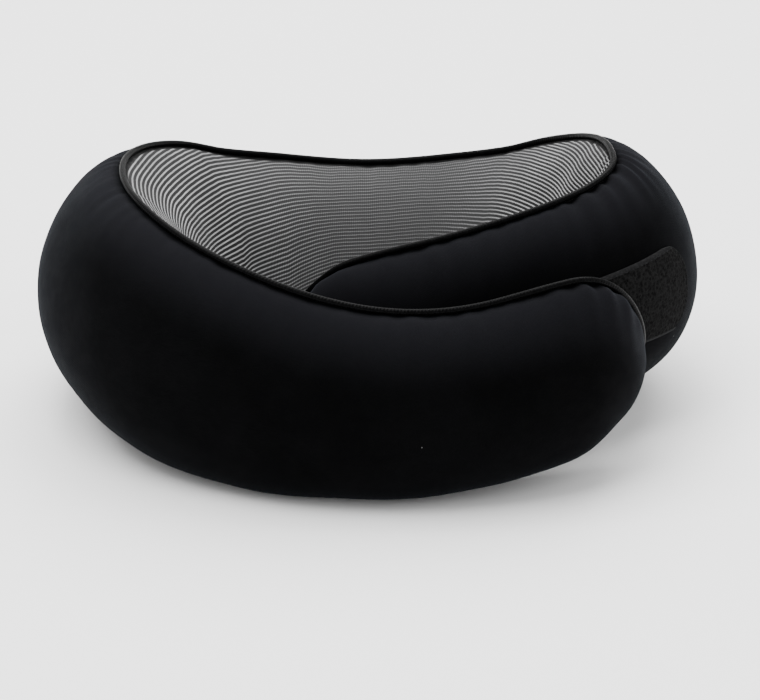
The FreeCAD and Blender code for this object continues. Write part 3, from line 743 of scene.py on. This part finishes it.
def camera():
    """Seen from the front and a little above."""
    data = bpy.data.cameras.new("camera")
    made = bpy.data.objects.new("camera", data)
    aim = Vector((0.0055, -0.0104, 0.0256))
    made.location = (0.0, -1.0663, 0.4821)
    made.rotation_euler = (made.location - aim).to_track_quat("Z", "Y").to_euler()
    data.sensor_width, data.lens = 36.0, 129.7
    data.clip_start, data.clip_end = 0.05, 60.0
    bpy.context.scene.collection.objects.link(made)
    bpy.context.scene.camera = made


# ---------------------------------------------------------------- build
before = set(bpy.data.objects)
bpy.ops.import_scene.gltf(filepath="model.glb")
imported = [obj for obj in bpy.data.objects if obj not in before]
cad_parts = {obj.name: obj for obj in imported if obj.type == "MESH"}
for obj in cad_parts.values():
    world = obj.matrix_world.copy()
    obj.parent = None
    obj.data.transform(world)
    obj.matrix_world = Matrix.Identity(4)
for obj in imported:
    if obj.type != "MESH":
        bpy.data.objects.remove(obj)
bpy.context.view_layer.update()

cover_m, mesh_m, piping_m = cover_material(), mesh_material(), piping_material()
loop_m = pile_material("loop_tape", 0.0008, 0.0075, 520.0, 0.9)
hook_m = pile_material("hook_tape", 0.0015, 0.010, 900.0, 1.0)
border_m = plain_material("woven_border", (0.0042, 0.0042, 0.0045), 0.75, 0.0, 900.0, 0.5, 0.06)
thread_m = plain_material("thread", (0.006, 0.006, 0.0065), 0.7, 0.0, 900.0, 0.3, 0.05)
metal_m = plain_material("zip_metal", (0.010, 0.010, 0.0105), 0.36, 0.75, 500.0, 0.06)
coil_m = plain_material("zip_coil", (0.004, 0.004, 0.0043), 0.42, 0.0, 700.0, 0.05, 0.10)

shells = cover_shell(cover_m)
panels = neck_panel(mesh_m)
cords = piping(piping_m)
for i, name in enumerate(STRETCHES):
    part = name.split("_")[0]
    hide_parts(f"cover_shell_{part}", f"liner_{part}", f"foam_core_{part}")
    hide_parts(f"neck_panel_{part}")
    if part == "nape":
        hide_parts("piping_top_nape", "piping_bottom_nape")
    else:
        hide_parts(f"piping_{part}")

loop_start = RIGHT.params[5] + 5.0
loops, loop_line = patch("loop_patch_pad", RIGHT, OUTER_FACE, np.linspace(loop_start, loop_start + 100, 90),
                         (0.3, 0.575), 0.25, 0.9, 15.0, loop_m, border_m, "right_arm", lambda u, v: u < 0)
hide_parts("loop_patch")
loop_thread = stitches("loop_patch_stitches", loop_line, 1.8, 0.9, 0.17, thread_m)
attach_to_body(loop_thread, "right_arm")
hooks, hook_line = patch("hook_patch_pad", LEFT, NECK_FACE, np.linspace(LEFT.length - 84, LEFT.length - 40, 46),
                         (0.22, 0.66), 0.25, 0.8, 5.0, hook_m, border_m, "left_arm", lambda u, v: u == u)
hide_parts("hook_patch")
hook_thread = stitches("hook_patch_stitches", hook_line, 1.8, 0.9, 0.17, thread_m)
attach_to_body(hook_thread, "left_arm")

zip_coil(coil_m)
tape_m = tape_material()
for node, material in (("zip_tape_upper", tape_m), ("zip_tape_lower", tape_m), ("zip_stops", metal_m),
                       ("zip_slider", metal_m), ("zip_pull", metal_m)):
    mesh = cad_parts[node].data
    mesh.materials.clear()
    mesh.materials.append(material)
for edge, across in (("upper", 9.6), ("lower", -9.6)):
    line = np.array([zip_ring(t, across, 0.62) for t in np.linspace(-ZIP_REACH + 1, ZIP_REACH - 1, 90)])
    thread = stitches(f"zip_stitches_{edge}", line, 2.0, 0.9, 0.17, thread_m, closed=False)
    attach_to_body(thread, "nape")

studio()
camera()
